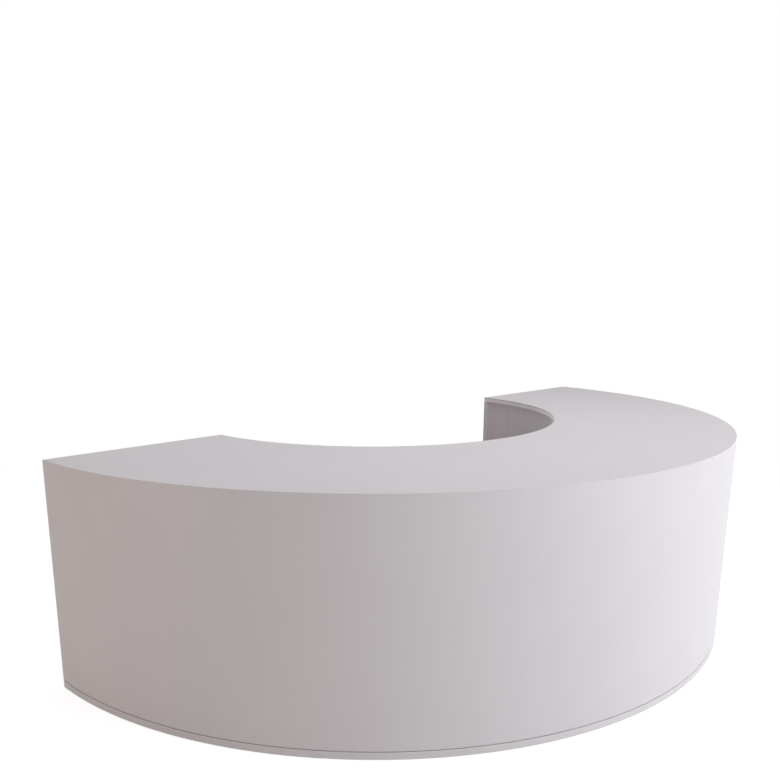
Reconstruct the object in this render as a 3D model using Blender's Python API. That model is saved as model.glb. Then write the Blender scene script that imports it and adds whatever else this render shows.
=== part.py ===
"""Half-round buffet counter: a hollow half ring of sheet boards on levelling feet.

The convex guest side faces -Y and the staff stand in the bay on the +Y side. The floor is
Z = 0 and the origin is under the middle of the counter. Lengths are in metres.
"""
import math

import bmesh
import bpy
from mathutils import Matrix

# Overall size
OUTER_RADIUS = 1.500
TOP_DEPTH = 0.700
COUNTER_HEIGHT = 0.820

# Sheet thicknesses
BASE_THICKNESS = 0.025
TOP_BOARD_THICKNESS = 0.018
TOP_SHEET_THICKNESS = 0.0012
OUTER_SKIN_THICKNESS = 0.009
INNER_SKIN_THICKNESS = 0.008
PANEL_THICKNESS = 0.018
EDGE_BAND_THICKNESS = 0.002

# Reveals and joints between the sheets
FOOT_REVEAL = 0.003
SHADOW_GAP = 0.0025
EDGE_GROOVE = 0.001
INNER_SKIN_SETBACK = 0.012
GLUE_LINE = 0.0003
HOUSING_DEPTH = 0.006

# Frame inside the skins
RIB_COUNT = 4
FORMER_WIDTH = 0.060
FORMER_THICKNESS = 0.018
LIGHTENING_DIAMETER = 0.220

# Screws up through the base and dowels down from the top
FASTENER_INSET = 0.060
SCREW_LENGTH = 0.050
SCREW_DIAMETER = 0.0064
SCREW_HEAD_DIAMETER = 0.0115
SCREW_POINT = 0.004
DOWEL_LENGTH = 0.030
DOWEL_DIAMETER = 0.008
DOWEL_IN_TOP = 0.011

# Levelling feet
FOOT_INSET = 0.110
FOOT_TRAVEL = 0.012
PAD_DIAMETER = 0.046
PAD_THICKNESS = 0.008
PAD_CHAMFER = 0.0015
PAD_SOCKET_DEPTH = 0.005
POCKET_CLEARANCE = 0.012
STEM_DIAMETER = 0.010
STEM_CHAMFER = 0.001
THREAD_ENGAGEMENT = 0.008
TEE_FLANGE_DIAMETER = 0.024
TEE_FLANGE_THICKNESS = 0.0015
TEE_BARREL_DIAMETER = 0.013
TEE_BARREL_LENGTH = 0.014

# Facets: each rib stands at a corner of the many-sided ring
STEPS_PER_BAY = 20
HOLE_STEPS = 32
PAD_STEPS = 20
STEM_STEPS = 12
SCREW_STEPS = 10

# Reach of a cutter past the face that it opens
CUT_PAST = 0.002

# Heights worked out from the sizes above
BASE_TOP = FOOT_REVEAL + BASE_THICKNESS
SHEET_UNDERSIDE = COUNTER_HEIGHT - TOP_SHEET_THICKNESS
BOARD_TOP = SHEET_UNDERSIDE - GLUE_LINE
BOARD_UNDERSIDE = BOARD_TOP - TOP_BOARD_THICKNESS
FORMER_SEAT = BASE_TOP + GLUE_LINE
FORMER_MIDDLE = (BASE_TOP + BOARD_UNDERSIDE) / 2
POCKET_CEILING = PAD_THICKNESS + GLUE_LINE
STEM_SEAT = PAD_THICKNESS - PAD_SOCKET_DEPTH + GLUE_LINE
STEM_TOP = BASE_TOP - TEE_BARREL_LENGTH + THREAD_ENGAGEMENT + FOOT_TRAVEL

# Radii worked out from the sizes above
INNER_RADIUS = OUTER_RADIUS - TOP_DEPTH
SKIN_BACK = OUTER_RADIUS - OUTER_SKIN_THICKNESS
INNER_SKIN_FACE = INNER_RADIUS + INNER_SKIN_SETBACK
INNER_SKIN_BACK = INNER_SKIN_FACE + INNER_SKIN_THICKNESS
OUTER_FORMER_OUT = SKIN_BACK - GLUE_LINE
OUTER_FORMER_IN = OUTER_FORMER_OUT - FORMER_WIDTH
INNER_FORMER_IN = INNER_SKIN_BACK + GLUE_LINE
INNER_FORMER_OUT = INNER_FORMER_IN + FORMER_WIDTH

# A flat rib end stands back from the ring's facets by this much
RING_STEPS = STEPS_PER_BAY * (RIB_COUNT + 1)
BAY_ANGLE = math.pi / (RIB_COUNT + 1)
FACET_SLOPE = math.tan(math.pi / RING_STEPS / 2)
RIB_DROP = PANEL_THICKNESS / 2 * FACET_SLOPE
RIB_IN = INNER_SKIN_BACK + GLUE_LINE
RIB_OUT = SKIN_BACK - RIB_DROP - GLUE_LINE
NOTCH_IN = INNER_FORMER_OUT + GLUE_LINE
NOTCH_OUT = OUTER_FORMER_IN - RIB_DROP - GLUE_LINE
FASTENER_RADII = (NOTCH_IN + FASTENER_INSET, NOTCH_OUT - FASTENER_INSET)


def clear_scene():
    for old in list(bpy.data.objects):
        bpy.data.objects.remove(old, do_unlink=True)


def finish_material(name, colour, roughness, metallic=0.0):
    """A plain finish for one kind of sheet or fitting."""
    material = bpy.data.materials.new(name)
    material.use_nodes = True
    shader = material.node_tree.nodes["Principled BSDF"]
    shader.inputs["Base Color"].default_value = (*colour, 1.0)
    shader.inputs["Roughness"].default_value = roughness
    shader.inputs["Metallic"].default_value = metallic
    return material


def mesh_from(bm, name):
    """Turn a finished bmesh into a mesh with its faces outward and round walls smooth."""
    bmesh.ops.recalc_face_normals(bm, faces=bm.faces)
    mesh = bpy.data.meshes.new(name)
    bm.to_mesh(mesh)
    bm.free()
    mesh.shade_smooth()
    mesh.set_sharp_from_angle(angle=math.radians(35))
    return mesh


def ring_point(radius, angle, z=0.0):
    """A point at an angle along the half ring, counted from its left end on -X."""
    return (-radius * math.cos(angle), -radius * math.sin(angle), z)


def half_ring(name, inner, outer, bottom, top, end_gap=0.0):
    """A half ring of rectangular section, its ends end_gap short of the diameter."""
    bm = bmesh.new()
    corners = [(inner, bottom), (outer, bottom), (outer, top), (inner, top)]
    section = bm.faces.new([bm.verts.new((-radius, 0.0, z)) for radius, z in corners])
    bmesh.ops.spin(
        bm,
        geom=[section, *section.edges, *section.verts],
        cent=(0.0, 0.0, 0.0),
        axis=(0.0, 0.0, 1.0),
        angle=math.pi,
        steps=RING_STEPS,
    )
    if end_gap > 0.0:
        bmesh.ops.bisect_plane(
            bm,
            geom=[*bm.verts, *bm.edges, *bm.faces],
            plane_co=(0.0, -end_gap, 0.0),
            plane_no=(0.0, 1.0, 0.0),
            clear_outer=True,
        )
        bmesh.ops.holes_fill(bm, edges=[edge for edge in bm.edges if edge.is_boundary])
    return mesh_from(bm, name)


def turned(name, profile, steps, closed=False):
    """A turned solid from (radius, z) points; an open profile starts and ends on the axis."""
    bm = bmesh.new()
    verts = [bm.verts.new((radius, 0.0, z)) for radius, z in profile]
    edges = [bm.edges.new(pair) for pair in zip(verts, verts[1:])]
    if closed:
        edges.append(bm.edges.new((verts[-1], verts[0])))
    bmesh.ops.spin(
        bm,
        geom=verts + edges,
        cent=(0.0, 0.0, 0.0),
        axis=(0.0, 0.0, 1.0),
        angle=2 * math.pi,
        steps=steps,
    )
    bmesh.ops.remove_doubles(bm, verts=bm.verts, dist=1e-6)
    return mesh_from(bm, name)


def upright_panel(name, outline, near_y, far_y):
    """A board standing on edge: an outline in X and Z, thick from near_y to far_y."""
    bm = bmesh.new()
    face = bm.faces.new([bm.verts.new((x, near_y, z)) for x, z in outline])
    grown = bmesh.ops.extrude_face_region(bm, geom=[face])
    moved = [item for item in grown["geom"] if isinstance(item, bmesh.types.BMVert)]
    bmesh.ops.translate(bm, verts=moved, vec=(0.0, far_y - near_y, 0.0))
    return mesh_from(bm, name)


def gathered(name, pieces):
    """One mesh that holds copies of several others, each moved by its own matrix."""
    bm = bmesh.new()
    for mesh, matrix in pieces:
        before = len(bm.verts)
        bm.from_mesh(mesh)
        bm.verts.ensure_lookup_table()
        bmesh.ops.transform(bm, matrix=matrix, verts=bm.verts[before:])
    return mesh_from(bm, name)


def add_piece(name, mesh, material, parent, location=(0.0, 0.0, 0.0), turn=0.0):
    """Place one named sub-part, turned about the vertical."""
    piece = bpy.data.objects.new(name, mesh)
    bpy.context.collection.objects.link(piece)
    piece.parent = parent
    piece.location = location
    piece.rotation_euler = (0.0, 0.0, turn)
    if not mesh.materials:
        mesh.materials.append(material)
    return piece


def cut(piece, name, cutter_mesh, parent):
    """Cut a shape out of a piece; the cutter itself isn't part of the counter."""
    cutter = bpy.data.objects.new(name, cutter_mesh)
    bpy.context.collection.objects.link(cutter)
    cutter.parent = parent
    cutter.hide_render = True
    cutter.display_type = "WIRE"
    boolean = piece.modifiers.new(name, "BOOLEAN")
    boolean.operation = "DIFFERENCE"
    boolean.solver = "EXACT"
    boolean.object = cutter


def rib_angles():
    return [BAY_ANGLE * number for number in range(1, RIB_COUNT + 1)]


def foot_places():
    """A foot in every bay near the guest side, and in every other bay near the staff side."""
    bays = [BAY_ANGLE * (bay + 0.5) for bay in range(RIB_COUNT + 1)]
    outer = [ring_point(OUTER_RADIUS - FOOT_INSET, angle) for angle in bays]
    inner = [ring_point(INNER_RADIUS + FOOT_INSET, angle) for angle in bays[::2]]
    return outer + inner


def end_fastener_places():
    """Points on the middle of the two end panels, left end first."""
    y = -PANEL_THICKNESS / 2
    left = [(-radius, y, 0.0) for radius in FASTENER_RADII]
    right = [(radius, y, 0.0) for radius in FASTENER_RADII]
    return left + right


def base_screw_places():
    """Two screws up into each rib and each end panel."""
    ribs = [ring_point(radius, angle) for angle in rib_angles() for radius in FASTENER_RADII]
    return ribs + end_fastener_places()


def screw_profile(clearance=0.0, past=0.0):
    """A countersunk screw pointing up from the base's underside, or the hole for it."""
    head = SCREW_HEAD_DIAMETER / 2 + clearance
    shank = SCREW_DIAMETER / 2 + clearance
    start = GLUE_LINE - clearance - past
    neck = GLUE_LINE + (SCREW_HEAD_DIAMETER - SCREW_DIAMETER) / 2
    tip = SCREW_LENGTH + clearance
    return [
        (0.0, start),
        (head, start),
        (head, GLUE_LINE),
        (shank, neck),
        (shank, tip - SCREW_POINT),
        (0.0, tip),
    ]


def dowel_profile(clearance=0.0):
    """A plain round dowel across the joint under the top board, or the hole for it."""
    radius = DOWEL_DIAMETER / 2 + clearance
    top = BOARD_UNDERSIDE + DOWEL_IN_TOP + clearance
    bottom = BOARD_UNDERSIDE + DOWEL_IN_TOP - DOWEL_LENGTH - clearance
    return [(0.0, bottom), (radius, bottom), (radius, top), (0.0, top)]


def screw_hole():
    return turned("screw_hole", screw_profile(GLUE_LINE, CUT_PAST), SCREW_STEPS)


def dowel_hole():
    return turned("dowel_hole", dowel_profile(GLUE_LINE), STEM_STEPS)


def foot_hole():
    """The pocket that a foot pad draws up into, and the hole for its tee nut above."""
    pocket = PAD_DIAMETER / 2 + POCKET_CLEARANCE
    barrel = TEE_BARREL_DIAMETER / 2 + GLUE_LINE
    start = FOOT_REVEAL - CUT_PAST
    end = BASE_TOP + CUT_PAST
    profile = [
        (0.0, start),
        (pocket, start),
        (pocket, POCKET_CEILING),
        (barrel, POCKET_CEILING),
        (barrel, end),
        (0.0, end),
    ]
    return turned("foot_hole", profile, PAD_STEPS)


def housing(name, inner, outer, bottom, top):
    """A slot as wide as a rib, cut along a radius."""
    outline = [(inner, bottom), (outer, bottom), (outer, top), (inner, top)]
    half = PANEL_THICKNESS / 2 + GLUE_LINE
    return upright_panel(name, outline, -half, half)


def at(place):
    return Matrix.Translation(place)


def along(angle):
    """Turn a shape drawn along +X to lie along the ring's radius at an angle."""
    return Matrix.Rotation(math.pi + angle, 4, "Z")


def add_base(ring, board):
    """The bottom board, with slots for the ribs, pockets for the feet and screw holes."""
    mesh = half_ring("base_board", INNER_RADIUS, OUTER_RADIUS, FOOT_REVEAL, BASE_TOP)
    base = add_piece("base_board", mesh, board, ring)
    slot = housing(
        "base_housing",
        NOTCH_IN - GLUE_LINE,
        NOTCH_OUT + GLUE_LINE,
        BASE_TOP - HOUSING_DEPTH,
        BASE_TOP + CUT_PAST,
    )
    slots = [(slot, along(angle)) for angle in rib_angles()]
    cut(base, "base_housings", gathered("base_housings", slots), ring)
    raised = at((0.0, 0.0, FOOT_REVEAL))
    holes = [(screw_hole(), raised @ at(place)) for place in base_screw_places()]
    holes += [(foot_hole(), at(place)) for place in foot_places()]
    cut(base, "base_holes", gathered("base_holes", holes), ring)


def add_formers(ring, plywood):
    """Curved strips that hold both skins to their curve, on the base and half-way up."""
    end_gap = PANEL_THICKNESS + GLUE_LINE
    seats = {"base": FORMER_SEAT, "middle": FORMER_MIDDLE - FORMER_THICKNESS / 2}
    sides = {"outer": (OUTER_FORMER_IN, OUTER_FORMER_OUT), "inner": (INNER_FORMER_IN, INNER_FORMER_OUT)}
    for level, bottom in seats.items():
        for side, (inner, outer) in sides.items():
            name = f"{side}_{level}_former"
            mesh = half_ring(name, inner, outer, bottom, bottom + FORMER_THICKNESS, end_gap)
            add_piece(name, mesh, plywood, ring)


def rib_outline():
    """A rib in radius and height, notched at its edges for the formers."""
    bottom = BASE_TOP - HOUSING_DEPTH + GLUE_LINE
    top = BOARD_UNDERSIDE + HOUSING_DEPTH - GLUE_LINE
    above_base = FORMER_SEAT + FORMER_THICKNESS + GLUE_LINE
    below_middle = FORMER_MIDDLE - FORMER_THICKNESS / 2 - GLUE_LINE
    above_middle = FORMER_MIDDLE + FORMER_THICKNESS / 2 + GLUE_LINE
    outer_edge = [
        (NOTCH_OUT, bottom),
        (NOTCH_OUT, above_base),
        (RIB_OUT, above_base),
        (RIB_OUT, below_middle),
        (NOTCH_OUT, below_middle),
        (NOTCH_OUT, above_middle),
        (RIB_OUT, above_middle),
        (RIB_OUT, top),
    ]
    mirror = {NOTCH_OUT: NOTCH_IN, RIB_OUT: RIB_IN}
    inner_edge = [(mirror[radius], z) for radius, z in reversed(outer_edge)]
    return outer_edge + inner_edge


def rib_holes():
    """Two lightening holes, one above and one below the middle former, and the screw holes."""
    radius = LIGHTENING_DIAMETER / 2
    reach = PANEL_THICKNESS / 2 + CUT_PAST
    profile = [(0.0, -reach), (radius, -reach), (radius, reach), (0.0, reach)]
    disc = turned("lightening_hole", profile, HOLE_STEPS)
    lying = Matrix.Rotation(math.pi / 2, 4, "X")
    centre = (RIB_IN + RIB_OUT) / 2
    heights = ((BASE_TOP + FORMER_MIDDLE) / 2, (FORMER_MIDDLE + BOARD_UNDERSIDE) / 2)
    holes = [(disc, at((centre, 0.0, height)) @ lying) for height in heights]
    holes += [(screw_hole(), at((place, 0.0, FOOT_REVEAL))) for place in FASTENER_RADII]
    return gathered("rib_holes", holes)


def add_ribs(ring, plywood):
    """Upright boards across the ring, housed in the base and in the top board."""
    mesh = upright_panel("rib", rib_outline(), -PANEL_THICKNESS / 2, PANEL_THICKNESS / 2)
    holes = rib_holes()
    for number, angle in enumerate(rib_angles(), start=1):
        rib = add_piece(f"rib_{number}", mesh, plywood, ring, turn=math.pi + angle)
        cut(rib, f"rib_{number}_holes", holes, rib)


def add_end_panels(ring, board):
    """The boards that close the two ends, flush with the ends of the top and the base."""
    outer = SKIN_BACK - PANEL_THICKNESS * FACET_SLOPE - GLUE_LINE
    bottom = BASE_TOP + GLUE_LINE
    top = BOARD_UNDERSIDE - GLUE_LINE
    raised = at((0.0, 0.0, FOOT_REVEAL))
    holes = [(screw_hole(), raised @ at(place)) for place in end_fastener_places()]
    holes += [(dowel_hole(), at(place)) for place in end_fastener_places()]
    cutter = gathered("end_panel_holes", holes)
    corners = [(INNER_RADIUS, bottom), (outer, bottom), (outer, top), (INNER_RADIUS, top)]
    for side, sign in (("left", -1.0), ("right", 1.0)):
        outline = [(sign * radius, z) for radius, z in corners]
        mesh = upright_panel(f"{side}_end_panel", outline, -PANEL_THICKNESS, 0.0)
        panel = add_piece(f"{side}_end_panel", mesh, board, ring)
        cut(panel, f"{side}_end_holes", cutter, ring)


def add_skins(ring, white, inner_white):
    """The bent guest-side wall, a shadow gap above the base, and the bent staff-side wall."""
    outer = half_ring("outer_skin", SKIN_BACK, OUTER_RADIUS, BASE_TOP + SHADOW_GAP, BOARD_TOP)
    add_piece("outer_skin", outer, white, ring)
    inner = half_ring(
        "inner_skin",
        INNER_SKIN_FACE,
        INNER_SKIN_BACK,
        BASE_TOP + GLUE_LINE,
        BOARD_UNDERSIDE - GLUE_LINE,
        PANEL_THICKNESS + GLUE_LINE,
    )
    add_piece("inner_skin", inner, inner_white, ring)


def add_top(ring, board, white):
    """The top board between the skins, its edge band on the staff side, and the sheet over all."""
    band_back = INNER_RADIUS + EDGE_BAND_THICKNESS
    mesh = half_ring("top_board", band_back + GLUE_LINE, SKIN_BACK - GLUE_LINE, BOARD_UNDERSIDE, BOARD_TOP)
    top = add_piece("top_board", mesh, board, ring)
    slot = housing(
        "top_housing",
        RIB_IN - GLUE_LINE,
        OUTER_RADIUS,
        BOARD_UNDERSIDE - CUT_PAST,
        BOARD_UNDERSIDE + HOUSING_DEPTH,
    )
    slots = [(slot, along(angle)) for angle in rib_angles()]
    cut(top, "top_housings", gathered("top_housings", slots), ring)
    holes = [(dowel_hole(), at(place)) for place in end_fastener_places()]
    cut(top, "top_dowel_holes", gathered("top_dowel_holes", holes), ring)
    band = half_ring("inner_edge_band", INNER_RADIUS, band_back, BOARD_UNDERSIDE, BOARD_TOP - EDGE_GROOVE)
    add_piece("inner_edge_band", band, white, ring)
    sheet = half_ring("top_sheet", INNER_RADIUS, OUTER_RADIUS, SHEET_UNDERSIDE, COUNTER_HEIGHT)
    add_piece("top_sheet", sheet, white, ring)


def add_fasteners(ring, steel, beech):
    """Countersunk screws through the base, and dowels between the end panels and the top."""
    screw = turned("base_screw", screw_profile(), SCREW_STEPS)
    for number, (x, y, _) in enumerate(base_screw_places(), start=1):
        add_piece(f"base_screw_{number}", screw, steel, ring, (x, y, FOOT_REVEAL))
    dowel = turned("top_dowel", dowel_profile(), STEM_STEPS)
    for number, place in enumerate(end_fastener_places(), start=1):
        add_piece(f"top_dowel_{number}", dowel, beech, ring, place)


def pad_mesh():
    """A moulded pad with a socket for the stem; its sole is on the floor."""
    rim = PAD_DIAMETER / 2
    socket = STEM_DIAMETER / 2 + GLUE_LINE
    floor = PAD_THICKNESS - PAD_SOCKET_DEPTH
    profile = [
        (0.0, 0.0),
        (rim - PAD_CHAMFER, 0.0),
        (rim, PAD_CHAMFER),
        (rim, PAD_THICKNESS - PAD_CHAMFER),
        (rim - PAD_CHAMFER, PAD_THICKNESS),
        (socket, PAD_THICKNESS),
        (socket, floor),
        (0.0, floor),
    ]
    return turned("foot_pad", profile, PAD_STEPS)


def stem_mesh():
    """A threaded stem from the pad's socket up through the tee nut."""
    radius = STEM_DIAMETER / 2
    profile = [
        (0.0, STEM_SEAT),
        (radius, STEM_SEAT),
        (radius, STEM_TOP - STEM_CHAMFER),
        (radius - STEM_CHAMFER, STEM_TOP),
        (0.0, STEM_TOP),
    ]
    return turned("foot_stem", profile, STEM_STEPS)


def tee_nut_mesh():
    """A flanged nut let into the base from above."""
    bore = STEM_DIAMETER / 2 + GLUE_LINE
    barrel = TEE_BARREL_DIAMETER / 2
    flange = TEE_FLANGE_DIAMETER / 2
    seat = BASE_TOP + GLUE_LINE
    profile = [
        (bore, BASE_TOP - TEE_BARREL_LENGTH),
        (barrel, BASE_TOP - TEE_BARREL_LENGTH),
        (barrel, seat),
        (flange, seat),
        (flange, seat + TEE_FLANGE_THICKNESS),
        (bore, seat + TEE_FLANGE_THICKNESS),
    ]
    return turned("tee_nut", profile, STEM_STEPS, closed=True)


def add_feet(ring, nylon, steel):
    """Screw-in levelling feet, each drawn up on its stop, with its axis at the piece's origin."""
    pad = pad_mesh()
    stem = stem_mesh()
    tee_nut = tee_nut_mesh()
    for number, place in enumerate(foot_places(), start=1):
        add_piece(f"foot_pad_{number}", pad, nylon, ring, place)
        add_piece(f"foot_stem_{number}", stem, steel, ring, place)
        add_piece(f"tee_nut_{number}", tee_nut, steel, ring, place)


def build():
    clear_scene()
    ring = bpy.data.objects.new("ring_axis", None)
    ring.location = (0.0, OUTER_RADIUS / 2, 0.0)
    bpy.context.collection.objects.link(ring)
    white = finish_material("white satin laminate", (0.80, 0.78, 0.79), 0.42)
    inner_white = finish_material("white painted flexible board", (0.76, 0.73, 0.74), 0.55)
    board = finish_material("white painted fibreboard", (0.78, 0.76, 0.76), 0.50)
    plywood = finish_material("birch plywood", (0.62, 0.46, 0.29), 0.60)
    beech = finish_material("beech dowel", (0.66, 0.47, 0.30), 0.60)
    steel = finish_material("zinc plated steel", (0.62, 0.63, 0.65), 0.35, 1.0)
    nylon = finish_material("black nylon", (0.03, 0.03, 0.03), 0.50)
    add_base(ring, board)
    add_formers(ring, plywood)
    add_ribs(ring, plywood)
    add_end_panels(ring, board)
    add_skins(ring, white, inner_white)
    add_top(ring, board, white)
    add_fasteners(ring, steel, beech)
    add_feet(ring, nylon, steel)


build()
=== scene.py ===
"""Looks of the half-round buffet counter: its finishes, eased edges, fittings, light and camera."""
import math

import bmesh
import bpy
from mathutils import Matrix, Vector


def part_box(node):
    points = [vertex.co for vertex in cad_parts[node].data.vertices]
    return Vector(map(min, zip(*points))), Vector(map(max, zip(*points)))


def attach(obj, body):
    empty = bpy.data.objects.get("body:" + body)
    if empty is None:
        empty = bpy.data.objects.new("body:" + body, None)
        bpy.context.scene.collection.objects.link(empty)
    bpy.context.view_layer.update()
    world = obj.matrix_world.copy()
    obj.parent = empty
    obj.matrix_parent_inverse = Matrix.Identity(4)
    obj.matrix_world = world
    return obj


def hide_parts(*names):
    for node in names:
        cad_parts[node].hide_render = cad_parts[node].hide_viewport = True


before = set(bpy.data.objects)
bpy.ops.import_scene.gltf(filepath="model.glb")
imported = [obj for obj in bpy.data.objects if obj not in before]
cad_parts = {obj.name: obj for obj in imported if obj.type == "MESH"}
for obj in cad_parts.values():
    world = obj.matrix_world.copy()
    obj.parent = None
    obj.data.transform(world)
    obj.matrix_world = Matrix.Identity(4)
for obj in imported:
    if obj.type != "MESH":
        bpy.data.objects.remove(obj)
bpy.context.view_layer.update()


# Base board
# One half ring of 25 mm fibreboard with white melamine faces, its edges sprayed to match, that carries
# the rest. Pockets for the feet and sinks for the screws are milled into its underside afterwards.
base_low, base_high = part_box("base_board")
RING_CENTRE_Y = base_high.y
OUTER_RADIUS = base_high.x
INNER_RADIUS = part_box("right_end_panel")[0].x
RING_STEPS = 360
BASE_ARRIS = 0.0007
ARRIS_SEGMENTS = 2
EASED_ANGLE = math.radians(40)
SHARP_ANGLE = math.radians(12)
SAME_HEIGHT = 0.000001
FOOT_COUNT = 8
POCKET_CLEARANCE = 0.012
POCKET_CEILING_GAP = 0.0003
POCKET_CHAMFER = 0.0006
TEE_NUT_BORE = 0.0068
SCREW_COUNT = 12
SCREW_SHANK_RADIUS = 0.0032
SINK_CLEARANCE = 0.0003
CUT_PAST = 0.002
ROUND_SIDES = 48
WHITE = "E3E0E2"
WHITE_CLOUD = "DFDBDE"
CLOUD_MM = 240
WIPE_MM = 95
WIPE_SWIRL = 1.6
WIPE_DULLING = 0.03
PEEL_MM = 7
MELAMINE_GLOSS = 0.50
MELAMINE_PEEL = 0.00006
SCUFF_GREY = "A59C98"
SCUFF_MM = (130, 7, 25)
BASE_SCUFF_FADE = 0.030
BASE_SCUFFS = 0.18
# JOINT_SHADE_BLACK is painted shade: black on the boards inside the open joints, so that they read as
# dark shaded lines.
JOINT_SHADE_BLACK = "141211"
JOINT_SHADE_FROM = OUTER_RADIUS - 0.025
JOINT_SHADE_TO = OUTER_RADIUS - 0.0025
# EDGE_SHADE_GREY is painted shade: a grey line on the base board's upper edge inside the open joint.
EDGE_SHADE_GREY = "8E8885"
EDGE_SHADE_FROM = OUTER_RADIUS - 0.0016
EDGE_SHADE_TO = OUTER_RADIUS - 0.0004
FIBRE_BROWN = "A88A64"
FIBRE_DARK = "8C7150"
FIBRE_FLECK_MM = 0.8
FIBRE_FELT = 0.0001
FIBRE_ROUGHNESS = 0.85

# Sockets of a Mix node set to mix colours
MIX_FACTOR, MIX_A, MIX_B, MIX_RESULT = 0, 6, 7, 2


def linear(hex_colour):
    """Linear RGBA from an sRGB hex value."""
    channels = [int(hex_colour[i:i + 2], 16) / 255 for i in (0, 2, 4)]
    return (*[c / 12.92 if c <= 0.04045 else ((c + 0.055) / 1.055) ** 2.4 for c in channels], 1.0)


def per_metre(millimetres):
    """The scale that draws a pattern's features this many millimetres wide."""
    return 1000 / millimetres


def add_node(tree, kind, inputs=None, **settings):
    """Add a node, set its options, and link or set its inputs."""
    node = tree.nodes.new(kind)
    node.location.x = 200 * len(tree.nodes)
    for option, value in settings.items():
        setattr(node, option, value)
    for socket, value in (inputs or {}).items():
        if isinstance(value, bpy.types.NodeSocket):
            tree.links.new(value, node.inputs[socket])
        else:
            node.inputs[socket].default_value = value
    return node


def new_finish(name):
    """An empty material with its node tree and surface shader."""
    material = bpy.data.materials.new(name)
    material.use_nodes = True
    return material, material.node_tree, material.node_tree.nodes["Principled BSDF"]


def unrolled(tree, radius):
    """Coordinates unrolled from the ring: length round it at a radius, height, reach from the axis."""
    place = add_node(tree, "ShaderNodeTexCoord").outputs["Object"]
    spot = add_node(tree, "ShaderNodeSeparateXYZ", {0: place}).outputs
    front = add_node(tree, "ShaderNodeMath", {0: RING_CENTRE_Y, 1: spot["Y"]}, operation="SUBTRACT")
    turn = add_node(tree, "ShaderNodeMath", {0: spot["X"], 1: front.outputs[0]}, operation="ARCTAN2")
    length = add_node(tree, "ShaderNodeMath", {0: turn.outputs[0], 1: radius}, operation="MULTIPLY")
    flat = add_node(tree, "ShaderNodeCombineXYZ", {"X": spot["X"], "Y": front.outputs[0]})
    reach = add_node(tree, "ShaderNodeVectorMath", {0: flat.outputs[0]}, operation="LENGTH")
    return add_node(
        tree,
        "ShaderNodeCombineXYZ",
        {"X": length.outputs[0], "Y": spot["Z"], "Z": reach.outputs["Value"]},
    ).outputs[0]


def tint(tree, shader, share, colour):
    """Mix another colour over a finish by a share from 0 to 1."""
    under = shader.inputs["Base Color"].links[0].from_socket
    mixed = add_node(
        tree,
        "ShaderNodeMix",
        {MIX_FACTOR: share, MIX_A: under, MIX_B: linear(colour)},
        data_type="RGBA",
    )
    tree.links.new(mixed.outputs[MIX_RESULT], shader.inputs["Base Color"])


def two_tone(tree, shader, share, pale, dark, relief, depth):
    """A surface in two colours, mixed by one pattern, with another pattern as its relief."""
    colour = add_node(
        tree,
        "ShaderNodeMix",
        {MIX_FACTOR: share, MIX_A: linear(pale), MIX_B: linear(dark)},
        data_type="RGBA",
    )
    feel = add_node(tree, "ShaderNodeBump", {"Height": relief, "Distance": depth, "Strength": 1.0})
    tree.links.new(colour.outputs[MIX_RESULT], shader.inputs["Base Color"])
    tree.links.new(feel.outputs["Normal"], shader.inputs["Normal"])


def white_film(tree, shader, place, white, cloud, gloss, peel_depth):
    """A white coat with faint clouding, a soft peel and duller patches from wiping."""
    clouds = add_node(
        tree, "ShaderNodeTexNoise", {"Vector": place, "Scale": per_metre(CLOUD_MM), "Detail": 4.0}
    )
    # The real peel is 1 to 2 mm wide; it is drawn 7 mm wide so that it shows
    peel = add_node(
        tree, "ShaderNodeTexNoise", {"Vector": place, "Scale": per_metre(PEEL_MM), "Detail": 2.0}
    )
    two_tone(tree, shader, clouds.outputs["Fac"], white, cloud, peel.outputs["Fac"], peel_depth)
    wiped = add_node(
        tree,
        "ShaderNodeTexNoise",
        {"Vector": place, "Scale": per_metre(WIPE_MM), "Detail": 5.0, "Distortion": WIPE_SWIRL},
    )
    dulling = add_node(
        tree,
        "ShaderNodeMapRange",
        {"Value": wiped.outputs["Fac"], "From Min": 0.3, "From Max": 0.7,
         "To Min": gloss - WIPE_DULLING, "To Max": gloss + WIPE_DULLING},
    )
    tree.links.new(dulling.outputs["Result"], shader.inputs["Roughness"])


def add_scuffs(tree, shader, place, fade_height, most):
    """Grey rub marks from shoes and mops that run along the floor and fade out upwards."""
    long_marks = add_node(
        tree,
        "ShaderNodeMapping",
        {"Vector": place, "Scale": [per_metre(size) for size in SCUFF_MM]},
    )
    marks = add_node(
        tree, "ShaderNodeTexNoise", {"Vector": long_marks.outputs[0], "Scale": 1.0, "Detail": 6.0}
    )
    chosen = add_node(
        tree,
        "ShaderNodeMapRange",
        {"Value": marks.outputs["Fac"], "From Min": 0.52, "From Max": 0.75, "To Max": most},
    )
    height = add_node(tree, "ShaderNodeSeparateXYZ", {0: place}).outputs["Y"]
    low = add_node(
        tree,
        "ShaderNodeMapRange",
        {"Value": height, "From Max": fade_height, "To Min": 1.0, "To Max": 0.0},
    )
    share = add_node(
        tree, "ShaderNodeMath", {0: chosen.outputs[0], 1: low.outputs[0]}, operation="MULTIPLY"
    )
    tint(tree, shader, share.outputs[0], SCUFF_GREY)


def paint_joint_shade(tree, shader, place, from_height, from_reach, to_reach, colour):
    """Painted shade: a darker colour where a board shows in an open joint, so that the joint reads as a
    shaded line.
    """
    spot = add_node(tree, "ShaderNodeSeparateXYZ", {0: place}).outputs
    share = add_node(tree, "ShaderNodeMath", {0: spot["Y"], 1: from_height}, operation="GREATER_THAN")
    for operation, limit in (("GREATER_THAN", from_reach), ("LESS_THAN", to_reach)):
        within = add_node(tree, "ShaderNodeMath", {0: spot["Z"], 1: limit}, operation=operation)
        share = add_node(
            tree, "ShaderNodeMath", {0: share.outputs[0], 1: within.outputs[0]}, operation="MULTIPLY"
        )
    tint(tree, shader, share.outputs[0], colour)
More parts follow.
